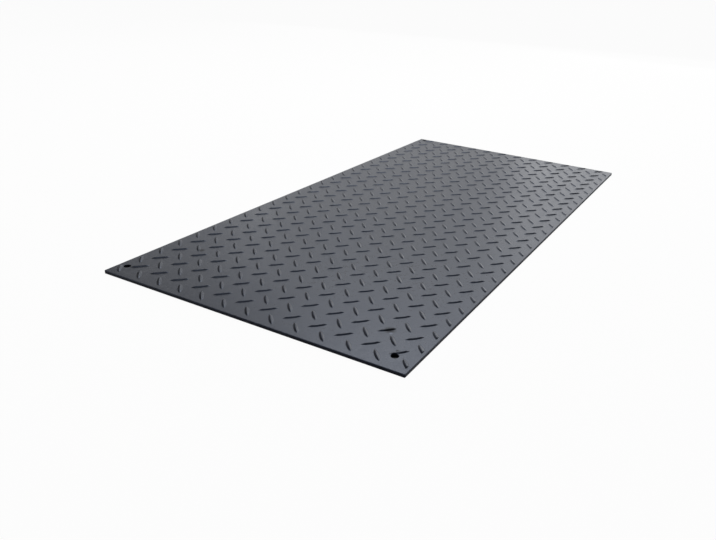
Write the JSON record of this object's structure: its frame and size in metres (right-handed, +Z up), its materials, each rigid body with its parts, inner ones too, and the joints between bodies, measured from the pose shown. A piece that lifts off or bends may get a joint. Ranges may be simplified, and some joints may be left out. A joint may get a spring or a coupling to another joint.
{
  "type": "ground protection mat",
  "caption": "Rectangular moulded plastic sheet laid on soft ground as a temporary track, with a raised tread of pointed lugs on top, a flat underside and a through hole near each corner",
  "frame": {"origin": "middle of the flat underside", "axes": "+X along the long side, +Y along the short side, +Z up out of the treaded top"},
  "size_m": [2.44, 1.22, 0.0167],
  "materials": {
    "mat": "dull moulded black polyethylene, scuffed by use"
  },
  "bodies": {
    "root": {"mat": "mat"}
  },
  "joints": []
}
